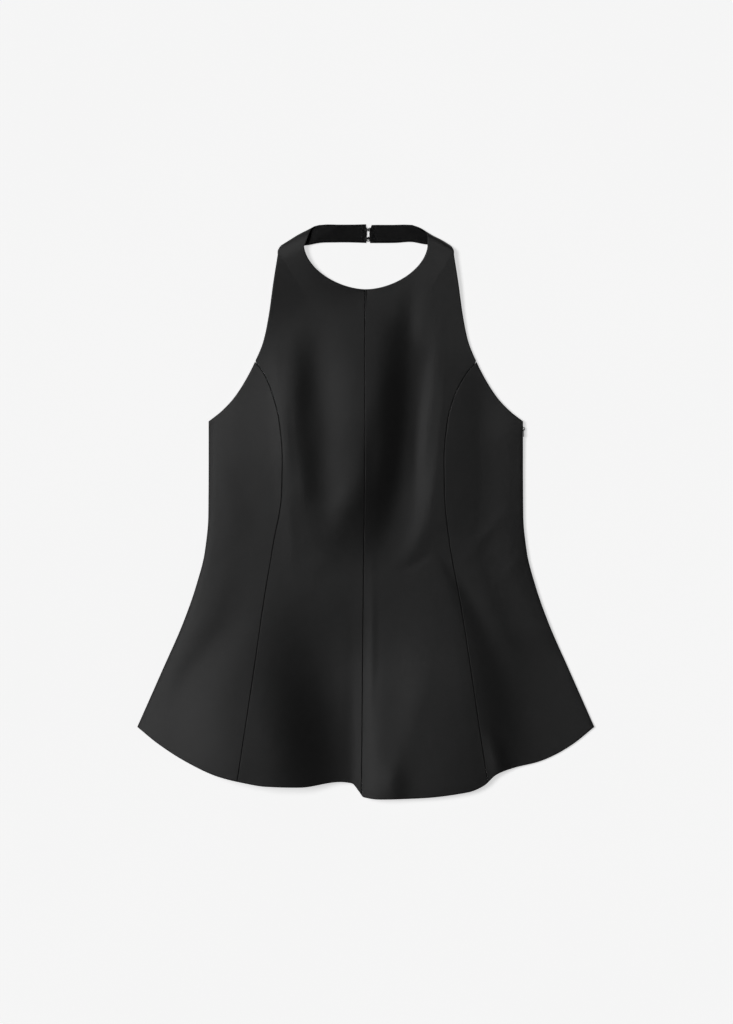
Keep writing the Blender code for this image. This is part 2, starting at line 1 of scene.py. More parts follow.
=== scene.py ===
"""The looks of a black crepe halter neck top that lies on its back with its neck towards +Y.

Each panel is a thin cloth shell on the form of its solid, with rolled seams and edges and its creases.
Left and right are the wearer's, so the right side lies at -X. Tables are in millimetres.
"""

import math
from collections import namedtuple

import bpy
import numpy as np
from bpy.props import FloatProperty, FloatVectorProperty, PointerProperty
from bpy.types import Operator, Panel, PropertyGroup
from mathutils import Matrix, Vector


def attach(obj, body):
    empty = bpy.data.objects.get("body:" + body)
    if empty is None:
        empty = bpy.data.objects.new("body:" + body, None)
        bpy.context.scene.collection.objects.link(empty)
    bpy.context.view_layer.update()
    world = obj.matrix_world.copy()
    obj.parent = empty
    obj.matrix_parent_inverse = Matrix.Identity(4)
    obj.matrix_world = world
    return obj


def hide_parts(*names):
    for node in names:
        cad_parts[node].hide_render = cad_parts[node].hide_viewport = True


bl_info = {
    "name": "Halter Neck Top",
    "version": (1, 0, 0),
    "blender": (4, 5, 0),
    "location": "3D View > Sidebar > Halter Top",
    "description": "Dresses the frame of a halter neck top in crepe, with its seams, zip, hooks and eyes",
    "category": "Object",
}

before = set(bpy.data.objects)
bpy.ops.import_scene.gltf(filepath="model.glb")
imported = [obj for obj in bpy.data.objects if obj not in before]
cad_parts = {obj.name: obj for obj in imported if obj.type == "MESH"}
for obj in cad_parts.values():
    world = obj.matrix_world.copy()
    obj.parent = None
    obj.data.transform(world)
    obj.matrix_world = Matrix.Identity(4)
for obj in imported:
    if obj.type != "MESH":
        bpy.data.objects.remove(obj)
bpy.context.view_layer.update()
MM = 0.001
GARMENT = "garment"
# The solids that each front panel stands in for, from its hem up.
CENTRE_SOLIDS = ("front_centre_hem", "front_centre_panel", "front_yoke", "neck_strap")
SIDE_SOLIDS = ("front_side_hem", "front_side_panel")

# --- The cut: where its edges and seams lie, and the folds that it lies in ---

# The outer edges, as heights and how far out they lie there.
UNDERARM = 108.5
SIDE_SEAM = [
    (UNDERARM, 188.6), (60, 188.6), (-5, 189), (-48, 193.2), (-91, 204.2), (-134, 219.4),
    (-192, 244.8), (-258.2, 274),
]
ARMHOLE = [
    (UNDERARM, 188.6), (120, 173.8), (135, 159.3), (155, 145.8), (180, 132.8), (205, 122.8),
    (235, 116.6), (275, 111), (304, 106.4),
]
ARMHOLE_END = 308.0

Seam = namedtuple("Seam", "height right centre left")
SEAM_ROWS = [
    (180, -132.8, -1, 132.8), (165, -121.4, -1, 120), (137, -110.4, -1, 105.6),
    (108, -103.4, -1, 98), (65, -99.8, -1, 94), (20, -100.8, -1.4, 94.6),
    (-36, -110.2, -2.2, 100.4), (-108, -122.2, -3, 113.4), (-194, -134.4, -3.8, 126.8),
    (-281, -147.4, -4.6, 139.6), (-345, -157, -5.2, 149.6),
]
SEAMS = [Seam(*row) for row in SEAM_ROWS]
PRINCESS_TOP = 180.0

# The front's hem, as points from right to left.
FRONT_HEM = [
    (-274, -258.2), (-248.2, -278.6), (-213.4, -300.2), (-177.4, -316.6), (-150, -323.6),
    (-118.6, -328.8), (-79, -330), (-31, -323.8), (-16.6, -325.4), (-9.4, -333.4), (-2.4, -342),
    (17, -344.6), (62.6, -343.4), (122.6, -336.2), (140.6, -329), (157.4, -314.6), (177.8, -307),
    (206.6, -300), (226, -292), (248.6, -278.6), (274, -258.2),
]

BACK_TOP = 103.0
BACK_SCOOP = 22.0
BACK_HEM_MIDDLE = -321.0
BACK_HEM_SIDE = -257.4

NECK_HALF_WIDTH = 74.0
NECK_DEPTH = 53.0
NECK_LEVEL = 320.0
NECK_POWER = 1.8
NECK_END_ANGLE = math.radians(87)

TURN_OUT = 89.2
TURN_HEIGHT = 323.2
TURN_ANGLE = math.radians(32.2)
TURN_RADIUS = 3.6
TURN_REACH = 120.0
HALF_TURN = math.pi * TURN_RADIUS

# Each turn narrows towards the neckline: `pressed` says from where along it, over how far and by what
# share. The cloth rolls over it: `roll` says how high over its middle at the armhole and at the neckline,
# and how far in from its rim. The lines run across the strap behind the neck, the last at its end, which
# isn't cut quite square: `end` pairs a share of the way up it with how far it reaches.
StrapLine = namedtuple("StrapLine", "lower_out lower_height upper_out upper_height")
Pressed = namedtuple("Pressed", "start over share")
Roll = namedtuple("Roll", "armhole neckline over")
Side = namedtuple("Side", "word sign neckline_meets_turn pressed roll lines end")
RIGHT = Side(
    "right", -1, 27, Pressed(8, 26, 0.5), Roll(3.6, 8.4, 22),
    (
        StrapLine(73, 319.4, 47, 344.8), StrapLine(55, 322.5, 33, 344.6), StrapLine(36, 323.1, 22, 344.6),
        StrapLine(18, 323.1, 11, 344.7), StrapLine(-0.6, 322.5, -0.6, 345.1),
    ),
    ((0, 0), (0.15, 0.4), (0.3, 0.6), (0.5, 1), (0.7, 0.5), (0.85, 0), (1, -0.4)),
)
LEFT = Side(
    "left", 1, 19, Pressed(-4, 20, 0.4), Roll(5.8, 3.6, 5),
    (
        StrapLine(73, 320.6, 47, 344.6), StrapLine(55, 323.6, 33, 344.3), StrapLine(36, 322.6, 22, 344.3),
        StrapLine(18, 322.4, 11, 344.3), StrapLine(5.2, 322.4, 5.2, 344.2),
    ),
    ((0, 0), (0.15, 0.5), (0.3, 0.6), (0.5, 1.1), (0.7, 0.4), (0.88, -0.8), (1, -1.9)),
)
SIDES = (RIGHT, LEFT)
STRAP_END_REACH = 12.0
ARMHOLE_MEETS_TURN = -19.5
ARMHOLE_LEAVES_TURN = -3.8
NECKLINE_LEAVES_TURN = 39.5
# Behind the neck the strap sinks from its turn to the hooks.
STRAP_LIFT = 1.1
STRAP_LIFT_POWER = 1.5
STRAP_LIFT_AFTER = 15.0
# The strap's stations run through the turn from 1 to 2, and then over its length to its end.
STRAP_STATIONS = 7
PAST_TURN = STRAP_STATIONS - 2
STRAP_LENGTH = 110.0

REST_OVER_BACK = 3.7
REST_ON_SURFACE = 2.3
STEP_DOWN_FROM = 96.0
STEP_DOWN_TO = 170.0
WALL = 1.6
BACK_WALL = 1.5
# The back stays this far inside the side seam. Its mean width is this share of its hem's.
BACK_INSET = 0.15
BACK_MEAN_WIDTH = 0.8
# The strap's facing starts before the turn, lies in from the strap's edges, and clear of its inner face.
FACING_START = 0.45
FACING_INSET = 0.75
FACING_GAP = 0.1
FACING_WALL = 1.2

# Folds: each lies along a line from `top` to `low`, bent sideways by `bow`. It grows over `rise` from its
# top and dies away over `fall` to its low end. A flank says how wide the fold is on one side, at its top
# and at its low end, and how flat its top is. It widens from a share of the fold's length.
Flank = namedtuple("Flank", "top low round")
Fold = namedtuple("Fold", "name top low bow rise fall right left high")
FLANK_WIDENS_FROM = 0.03
BODY_FLANK = Flank(105, 230, 3)
FOLDS = [
    Fold("bust, right", (-88, 250), (-66, -60), -16, 130, 140, Flank(76, 76, 1.2), Flank(28, 28, 2.4), 11.2),
    Fold("middle", (-5, 280), (-42, -84), 14, 170, 140, Flank(70, 60, 2.2), Flank(44, 44, 3.6), 12.4),
    Fold("bust, left", (98, 226), (68, -66), 6, 90, 95, Flank(19.5, 15, 2), Flank(60, 60, 2), 3.3),
    Fold("body", (-40, 260), (0, -190), 0, 110, 110, BODY_FLANK, BODY_FLANK, 3.9),
    Fold("waist", (-50, 50), (-30, -190), 0, 120, 130, Flank(110, 110, 2), Flank(190, 190, 2), 3.4),
    Fold("hem, right", (-166, -60), (-130, -360), 0, 250, 10, Flank(55, 124, 2.5), Flank(66, 92, 2.9), 23),
    Fold("hem, left", (75, -40), (10, -360), 36, 190, 10, Flank(104, 50, 1.9), Flank(2, 155, 4.6), 10.2),
]
# How far in from its side seam the front takes to rise onto its folds.
RISE_RIGHT = 45.0
RISE_LEFT = 84.0

# Creases: soft ridges, or troughs where `high` is below 0. Each lies along a line through (x, y) that
# leans clockwise from +Y. `reach` is half its length, and `bend` bows its ends sideways.
Crease = namedtuple("Crease", "name x y lean reach width bend high")
CREASE_ROWS = [
    ("right of the centre seam at the hem", -16, -270, 0.5, 110, 9, 0, -0.5),
    ("left of the centre seam at the hem", 12, -275, 0.5, 110, 11, 0, 1.1),
    ("middle of the bust, lower end", -22, 8, 22, 42, 19, 0, 2.2),
    ("right bust fold, left foot", -79, 26, 0, 26, 12, 0, 0.8),
    ("middle of the bust, right foot", -60, 100, 0, 42, 13, 0, 1.0),
    ("middle of the bust, left foot", 8, 64, 6, 42, 11, 0, -1.2),
    ("left bust fold, crest", 75, 118, 7, 84, 9, 0, 0.9),
    ("left bust fold, top of its groove", 55, 238, 4, 34, 12, 0, -1.3),
    ("left bust fold, edge of its groove", 62, 68, 3, 48, 7.5, 0, -0.6),
    ("left of the centre seam, upper", 7, -170, 0.5, 70, 5, 0, 0.6),
    ("left hem fold, inner foot", 25, -240, 0.5, 90, 12, 0, 0.6),
    ("beside the right princess seam", -97, 62, -5, 84, 8.5, 0, 1.5),
    ("left bust fold, lower end", 60, -36, 24, 26, 9, -4, 0.6),
    ("under the left bust", 62, -60, 60, 22, 6, 0, -0.35),
    ("left waist, upper", 150, -20, 40, 36, 9, 0, 0.5),
    ("left waist, lower", 184, -58, 44, 26, 8, 0, 0.5),
    ("right side, diagonal", -153, 38, -30, 50, 13, 0, -0.6),
    ("right waist", -160, -44, 58, 36, 9, 3, -0.15),
    ("left hem fold, outer foot", 160, -152, -20, 70, 24, 0, 1.9),
    ("right hem fold, outer foot", -186, -172, 28, 66, 25, 0, -2.4),
    ("right hem fold, beside the side seam", -216, -198, 28, 42, 15, 0, -1.4),
    ("left hem fold, outer foot at the hem", 158, -302, -16, 34, 10, 0, 2.0),
    ("left hem fold, inner foot at the hem", 32, -332, 0, 26, 15, 0, 2.2),
]
CREASES = [Crease(*row) for row in CREASE_ROWS]

# Gentle unevenness of the cloth, as waves: wavelength, height and heading.
Wave = namedtuple("Wave", "length high heading phase")
WAVES = [
    Wave(63, 0.045, 12, 0.4), Wave(47, 0.030, 68, 2.1), Wave(39, 0.022, 131, 4.4),
    Wave(28, 0.012, 99, 1.3), Wave(19, 0.006, 160, 3.0),
]
# A wave's crests swing to and fro by this much, over this share of its length.
WAVE_SWING = 1.7
WAVE_SWING_LENGTH = 0.9

ZIP_TOP = 93.0
ZIP_FOOT = -135.0
ZIP_WIDTH = 10.4
ZIP_INSET = 0.7
ZIP_LOW = 1.8
ZIP_HIGH = 3.2
ZIP_LIFT = 1.8
ZIP_LIFT_EDGE = 12.0
ZIP_LIFT_WIDTH = 44.0
ZIP_LIFT_FADE = 40.0
SLIDER_LIFT = 1.0
SLIDER_LIFT_REACH = 22.0
SLIDER_MIDDLE = 99.4
ZIP_ROWS = 95
# The tape leaves room for the coil at its edge, and is thinner than the zip.
COIL_ROOM = 1.5
TAPE_SUNK = 0.3
COIL_PITCH = 1.25
COIL_WIRE = 0.18
COIL_INSET = 0.2

HOOK_HEIGHTS = {"upper": 338.2, "lower": 328.1}
STRAP_TOP_FACE = 3.0
WIRE = 0.8
WIRE_GAP = 0.3
WIRE_MIDDLE = STRAP_TOP_FACE + WIRE_GAP + WIRE / 2
HOOK_HALF = WIRE / 2 + WIRE_GAP / 2
EYE_BEND = 1.65
EYE_BAR = 2.4
EYE_SHANK = 6.4
# Sewing rings: where along the strap, how far from the hook's middle, and between which angles the
# thread is wound over them.
Ring = namedtuple("Ring", "x out first last")
RING_RADIUS = 1.0
HOOK_RING = Ring(-4.0, HOOK_HALF + RING_RADIUS, 40, 250)
EYE_RING = Ring(8.3, EYE_BEND + RING_RADIUS, -70, 140)
RING_START = 20
RING_SWEEP = 250
WIRE_STEPS = 6
# The bends of a hook's wire: along the strap, out as a share of the hook's half, and up.
HOOK_BENDS = [
    (-1.6, 1, 0), (0.2, 1, 0.35), (1.4, 1, 1.15), (2.6, 1, 1.3), (3.6, 1, 0.95), (4.1, 1, 0.05),
    (3.7, 1, -0.8), (2.9, 1, -1.2), (2.1, 1, -1.25), (1.55, 0.6, -1.25),
]
TURN_POINTS = 10
STITCH_LOOPS = 8
STITCH_OUT = 0.62
STITCH_UP = 0.58
STITCH_THREAD = 0.13
# Thread wound over a strap's end, round the shanks of a hook or an eye: from which height to which, and
# how far it reaches.
Wound = namedtuple("Wound", "low high reach")
END_STITCHES = {"upper": Wound(336.4, 340.6, 1.9), "lower": Wound(324.2, 329.0, 2.5)}
END_THREAD = 0.24
END_TURNS = 9
END_OUT = 0.6
END_HALF_HEIGHT = 1.5
END_MIDDLE = 2.5

# A seam is a narrow groove. Its panels meet at the foot of it, on their turnings.
GROOVE_HALF_WIDTH = 0.19
GROOVE_WALL = 0.03
GROOVE_FOOT = 0.01
GROOVE_DEPTH = 1.05
SEAM_TOUCH = 0.004
# The princess seam fades out where it runs into the armhole's edge.
SEAM_FADES_BELOW_TOP = 4.0
SEAM_FADE = 5.0
# The side seam closes down on the back panel, and its cloth is pressed round, not beside the armhole.
SIDE_CLOSE = 0.55
SIDE_CLOSE_REACH = 5.0
SIDE_PRESS = {RIGHT: 1.35, LEFT: 0.1}
SIDE_PRESS_REACH = 11.0
SIDE_STARTS_BELOW = 1.0
SIDE_STARTS_OVER = 6.0

# How far in from an edge its extra rows of points lie. The second and third stand on the groove's wall.
NEAR_EDGE = [0.0, GROOVE_HALF_WIDTH, GROOVE_HALF_WIDTH + GROOVE_WALL, 0.35, 0.6, 1.0, 1.7, 2.8]
# How finely the shells are divided, and how often a grid is drawn again on the edges that it finds.
CENTRE_ROWS = 190
CENTRE_COLUMNS = 60
YOKE_ROWS = 26
SIDE_ROWS = 130
SIDE_COLUMNS = 52
BACK_ROWS = 120
BACK_COLUMNS = 110
FACING_COLUMNS = 22
TURN_STEPS = 30
STRAP_STEPS = 62
ROUNDS = 4
SIDE_ROUNDS = 5
# A front panel's body ends this far below the neckline at the centre seam, and the yoke begins.
YOKE_BELOW_NECK = 10.0
# Where a panel's rows start from before they find the hem.
CENTRE_HEM_LEVEL = -320.0
SIDE_HEM_LEVEL = -290.0
# A side panel's upper rows lean over to the armhole from this share of its height.
LEAN_FROM = 0.55
# Shares of an upright distance that lie square to an edge, and a distance for where there is no edge.
SQUARE_TO_HEM = 0.95
SQUARE_TO_SIDE_HEM = 0.9
SQUARE_TO_ARMHOLE = 0.72
NO_EDGE = 99.0
SLOPE_STEP = 0.5
SHARP_ANGLE = math.radians(55)

# The stage, in metres, and the middles of the view and of the top in it, in pixels.
FLOOR_REACH = 6.0
FLOOR_DROP = 0.0002
LAMP_DISTANCE = 3
VIEW_HEIGHT = 1024
VIEW_MIDDLE = (366.5, 512)
TOP_MIDDLE = (365.8, 511.8)


class Curve:
    """A smooth line through (place, value) knots that never overshoots between them."""

    def __init__(self, knots):
        knots = sorted(knots)
        self.places = np.array([k[0] for k in knots], float)
        self.values = np.array([k[1] for k in knots], float)
        self.steps = np.diff(self.places)
        rates = np.diff(self.values) / self.steps
        slopes = [rates[0]]
        for before, after in zip(rates, rates[1:]):
            slopes.append(2 * before * after / (before + after) if before * after > 0 else 0.0)
        self.slopes = np.array([*slopes, rates[-1]])

    def __call__(self, at):
        at = np.asarray(at, float)
        i = np.clip(np.searchsorted(self.places, at, side="right") - 1, 0, len(self.steps) - 1)
        step = self.steps[i]
        t = np.clip((at - self.places[i]) / step, 0, 1)
        value = (1 + 2 * t) * (1 - t) ** 2 * self.values[i] + t * (1 - t) ** 2 * step * self.slopes[i]
        value += t * t * (3 - 2 * t) * self.values[i + 1] - t * t * (1 - t) * step * self.slopes[i + 1]
        value += self.slopes[0] * np.minimum(0, at - self.places[0])
        return value + self.slopes[-1] * np.maximum(0, at - self.places[-1])


side_out = Curve(SIDE_SEAM)
armhole_out = Curve(ARMHOLE)
centre_x = Curve([(row.height, row.centre) for row in SEAMS])
princess_x = {side: Curve([(row.height, getattr(row, side.word)) for row in SEAMS]) for side in SIDES}
front_hem = Curve(FRONT_HEM)
strap_end = {side: Curve(side.end) for side in SIDES}


def cloth_look():
    """The sizes and colours in the sidebar."""
    return bpy.context.scene.halter_cloth


def ease(t):
    """0 up to 0, 1 from 1 on, and smooth between."""
    t = np.clip(t, 0, 1)
    return t * t * (3 - 2 * t)


def mix(a, b, t):
    return a + (b - a) * t


def rolled(distance, reach):
    """How far a rounded edge falls, as a share: 1 at the edge and 0 from `reach` in."""
    q = 1 - np.clip(distance / reach, 0, 1)
    return 1 - np.sqrt(1 - q * q)


def to_turn(out, height):
    """How far along the shoulder's turn a point lies, and how far past it, as if the strap lay open."""
    x, y = TURN_OUT - out, height - TURN_HEIGHT
    c, s = math.cos(TURN_ANGLE), math.sin(TURN_ANGLE)
    return x * c + y * s, y * c - x * s


def from_turn(along, past):
    """The reverse of to_turn: (out, height)."""
    c, s = math.cos(TURN_ANGLE), math.sin(TURN_ANGLE)
    return TURN_OUT - (along * c - past * s), TURN_HEIGHT + along * s + past * c


def unfolded(out, height):
    """Where a point of the strap behind the neck lies along and past the turn when opened out."""
    along, past = to_turn(out, height)
    return along, HALF_TURN - past


def fold_height(fold, x, y):
    """How much one fold lifts the front."""
    (x_top, y_top), (x_low, y_low) = fold.top, fold.low
    t = (y_top - y) / (y_top - y_low)
    line = mix(x_top, x_low, t) + fold.bow * 4 * t * (1 - t)
    widened = np.clip(t, FLANK_WIDENS_FROM, 1)
    right, left = (mix(flank.top, flank.low, widened) for flank in (fold.right, fold.left))
    away = np.abs(x - line) / np.where(x < line, right, left)
    roundness = np.where(x < line, fold.right.round, fold.left.round)
    share = ease((y_top - y) / fold.rise) * ease((y - y_low) / fold.fall)
    return fold.high * share * np.exp(-(away**roundness))


def crease_height(crease, x, y):
    """How much one crease lifts the cloth."""
    lean = math.radians(crease.lean)
    along = ((x - crease.x) * math.sin(lean) + (y - crease.y) * math.cos(lean)) / crease.reach
    across = (x - crease.x) * math.cos(lean) - (y - crease.y) * math.sin(lean)
    across = (across - crease.bend * along * along) / crease.width
    return crease.high * np.exp(-(across**2) - along**2)


def unevenness(x, y):
    """The cloth's own gentle unevenness."""
    lift = 0.0
    for wave in WAVES:
        heading = math.radians(wave.heading)
        way = x * math.cos(heading) + y * math.sin(heading)
        crest = x * math.sin(heading) - y * math.cos(heading)
        swing = WAVE_SWING * np.sin(crest / (wave.length * WAVE_SWING_LENGTH))
        lift = lift + wave.high * np.sin(way * math.tau / wave.length + wave.phase + swing)
    return lift


def seam_rise(x, y):
    """0 at the side seams and 1 well inside them, steepest at the seams."""
    inside = (side_out(np.minimum(y, UNDERARM)) - np.abs(x)) / np.where(x < 0, RISE_RIGHT, RISE_LEFT)
    return 1 - (1 - np.clip(inside, 0, 1)) ** 3


def zip_lift(x, y):
    """How much the zip and its slider lift the front beside the wearer's left side seam."""
    near = 1 - ease((side_out(np.minimum(y, UNDERARM)) - ZIP_LIFT_EDGE - x) / ZIP_LIFT_WIDTH)
    along = ease((y - ZIP_FOOT + ZIP_LIFT_FADE) / ZIP_LIFT_FADE)
    slider = SLIDER_LIFT * np.exp(-(((y - SLIDER_MIDDLE) / SLIDER_LIFT_REACH) ** 2))
    return near * (ZIP_LIFT * along + slider)


def turn_reach(side, along):
    """How far the turn's rim stands out from the line that it starts at."""
    return TURN_RADIUS * (1 - side.pressed.share * ease((along - side.pressed.start) / side.pressed.over))


def over_turn(side, along, to_rim, depth):
    """The height of a shoulder's upper layer, which rolls down to the rim of its turn."""
    share = np.clip(to_rim / (side.roll.over - depth), 0, 1)
    across = np.clip((along - ARMHOLE_MEETS_TURN) / (side.neckline_meets_turn - ARMHOLE_MEETS_TURN), 0, 1)
    high = mix(side.roll.armhole, side.roll.neckline, across)
    return TURN_RADIUS + (high - depth) * np.sqrt(1 - (1 - share) ** 2)


def front_height(x, y):
    """The height of the outside of the front over the surface."""
    step_down = ease((y - STEP_DOWN_FROM) / (STEP_DOWN_TO - STEP_DOWN_FROM))
    rest = mix(REST_OVER_BACK, REST_ON_SURFACE, step_down)
    fine = sum(crease_height(crease, x, y) for crease in CREASES) + unevenness(x, y)
    rise = sum(fold_height(fold, x, y) for fold in FOLDS) + cloth_look().crease_strength * fine
    rest = rest + rise * seam_rise(x, y) + zip_lift(x, y)
    along, past = to_turn(np.abs(x), y)
    near = ease((past + TURN_REACH) / TURN_REACH)
    shoulders = [over_turn(side, along, turn_reach(side, along) - past, 0) for side in SIDES]
    return mix(rest, np.where(x < 0, *shoulders), near)


def front_point(x, y, depth):
    """Points of the front, `depth` inside its outer face."""
    step = SLOPE_STEP
    dx = (front_height(x + step, y) - front_height(x - step, y)) / (2 * step)
    dy = (front_height(x, y + step) - front_height(x, y - step)) / (2 * step)
    return np.stack([x, y, front_height(x, y) - depth * np.sqrt(1 + dx * dx + dy * dy)], -1)


def strap_point(side, along, past, depth):
    """Points of the strap, `depth` inside its outer face, up to the shoulder's turn, on it and past it."""
    angle = np.clip(past / TURN_RADIUS, 0, math.pi)
    rim = turn_reach(side, along) * (1 - depth / TURN_RADIUS)
    out, height = from_turn(along, rim * np.sin(angle) - np.maximum(0, past - HALF_TURN))
    last = side.lines[-1]
    near_end = 1 - ease((out - last.lower_out) / STRAP_END_REACH)
    up = np.clip((height - last.lower_height) / (last.upper_height - last.lower_height), 0, 1)
    out = out - near_end * strap_end[side](up)
    lift = STRAP_LIFT * np.clip(out / TURN_OUT, 0, 1) ** STRAP_LIFT_POWER
    lift = lift * ease((past - HALF_TURN) / STRAP_LIFT_AFTER)
    upper = over_turn(side, along, rim * (1 - np.sin(angle)), depth)
    lower = TURN_RADIUS + (TURN_RADIUS - depth) * np.cos(angle) + lift
    turned = np.stack([side.sign * out, height, np.where(angle < math.pi / 2, upper, lower)], -1)
    out, height = from_turn(along, np.minimum(past, 0))
    before = front_point(side.sign * out, height, depth)
    return np.where((past <= 0)[..., None], before, turned)


def neckline(t):
    """(out, height) on the neckline, from the centre seam at 0 to the strap at 1."""
    angle = np.maximum(0, t) * NECK_END_ANGLE
    out = NECK_HALF_WIDTH * np.sin(angle) ** (2 / NECK_POWER)
    return out, NECK_LEVEL - NECK_DEPTH * np.cos(angle) ** (2 / NECK_POWER)


def strap_rows(side, stations):
    """The strap's two edges at stations along it, the armhole's first, each as along and past."""
    lines = [
        (to_turn(armhole_out(ARMHOLE_END), ARMHOLE_END), to_turn(*neckline(1))),
        ((ARMHOLE_MEETS_TURN, 0.0), (side.neckline_meets_turn, 0.0)),
        ((ARMHOLE_LEAVES_TURN, HALF_TURN), (NECKLINE_LEAVES_TURN, HALF_TURN)),
        *[(unfolded(*row[:2]), unfolded(*row[2:])) for row in side.lines],
    ]
    return [
        [Curve([(i, line[edge][part]) for i, line in enumerate(lines)])(stations) for part in (0, 1)]
        for edge in (0, 1)
    ]


def near_edges(span, steps, first=True, last=True):
    """Shares of a span, close together near its ends and even between. `span` may be an array."""
    near = np.array(NEAR_EDGE)
    span = np.asarray(span, float)[..., None]
    start = near / span if first else np.zeros_like(span)
    end = 1 - near[::-1] / span if last else np.ones_like(span)
    middle = mix(start[..., -1:], end[..., :1], np.arange(1, steps) / steps)
    return np.concatenate([start, middle, end], -1)


def strap_grid(side, first, steps, columns, inset):
    """A grid over a strap from station `first`, `inset` inside its edges, with `steps` rows before the
    turn: how far its points lie along and past the turn, and how far from each free edge."""
    before = mix(first, 1, np.arange(steps) / steps)
    turned = 1 + np.arange(TURN_STEPS) / TURN_STEPS
    after = near_edges(STRAP_LENGTH, STRAP_STEPS, first=False) * (1 - inset / STRAP_LENGTH)
    stations = np.concatenate([before, turned, 2 + PAST_TURN * after])[:, None]
    (a0, p0), (a1, p1) = strap_rows(side, stations)
    width = np.hypot(a1 - a0, p1 - p0)
    trim = inset / width
    shares = mix(trim, 1 - trim, near_edges(width[:, 0], columns))
    to_end = (stations[-1] - stations) / PAST_TURN * STRAP_LENGTH + 0 * shares
    free = [shares * width - inset, (1 - shares) * width - inset, to_end]
    return mix(a0, a1, shares), mix(p0, p1, shares), free


# --- Cloth shells ---


def shell(name, outside, inside, material):
    """A closed cloth shell between two grids of points in millimetres with the same rows and columns."""
    rows, columns = outside.shape[:2]
    points = np.concatenate([outside.reshape(-1, 3), inside.reshape(-1, 3)]) * MM
    index = np.arange(rows * columns).reshape(rows, columns)
    quads = np.stack([index[:-1, :-1], index[:-1, 1:], index[1:, 1:], index[1:, :-1]], -1).reshape(-1, 4)
    rim = np.concatenate([index[0, :], index[1:, -1], index[-1, -2::-1], index[-2:0:-1, 0]])
    after = np.roll(rim, -1)
    under = rows * columns
    sides = np.stack([rim, rim + under, after + under, after], -1)
    faces = np.concatenate([quads, quads[:, ::-1] + under, sides])
    across, up = outside[0, -1] - outside[0, 0], outside[-1, 0] - outside[0, 0]
    lift = (outside - inside)[rows // 3, columns // 2]
    if np.dot(np.cross(across, up), lift) < 0:
        faces = faces[:, ::-1]
    mesh = bpy.data.meshes.new(name)
    mesh.from_pydata(points.tolist(), [], faces.tolist())
    mesh.update()
    mesh.shade_smooth()
    mesh.set_sharp_from_angle(angle=SHARP_ANGLE)
    mesh.materials.append(material)
    made = bpy.data.objects.new(name, mesh)
    bpy.context.scene.collection.objects.link(made)
    return made


def edge_depths(thickness, free, seams):
    """How deep the outer and inner faces lie near edges. `free` holds distances to faced edges, and
    `seams` pairs of a distance to a seam and how much of it is a seam there."""
    look = cloth_look()
    roll, dip = look.seam_roll / MM, look.seam_depth / MM
    outer = np.zeros_like(free[0])
    inner = np.full_like(free[0], thickness)
    for distance in free:
        fall = rolled(distance, look.edge_roll / MM) * thickness / 2
        outer = np.maximum(outer, fall)
        inner = np.minimum(inner, thickness - fall)
    for distance, share in seams:
        from_wall = distance - GROOVE_HALF_WIDTH
        fall = np.where(from_wall < GROOVE_FOOT, GROOVE_DEPTH, rolled(np.maximum(from_wall, 0), roll) * dip)
        outer = np.maximum(outer, fall * share)
    return outer, inner


def finish_cloth(piece, nodes):
    """Sets a cloth piece on the garment in place of its solids."""
    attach(piece, GARMENT)
    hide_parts(*nodes)


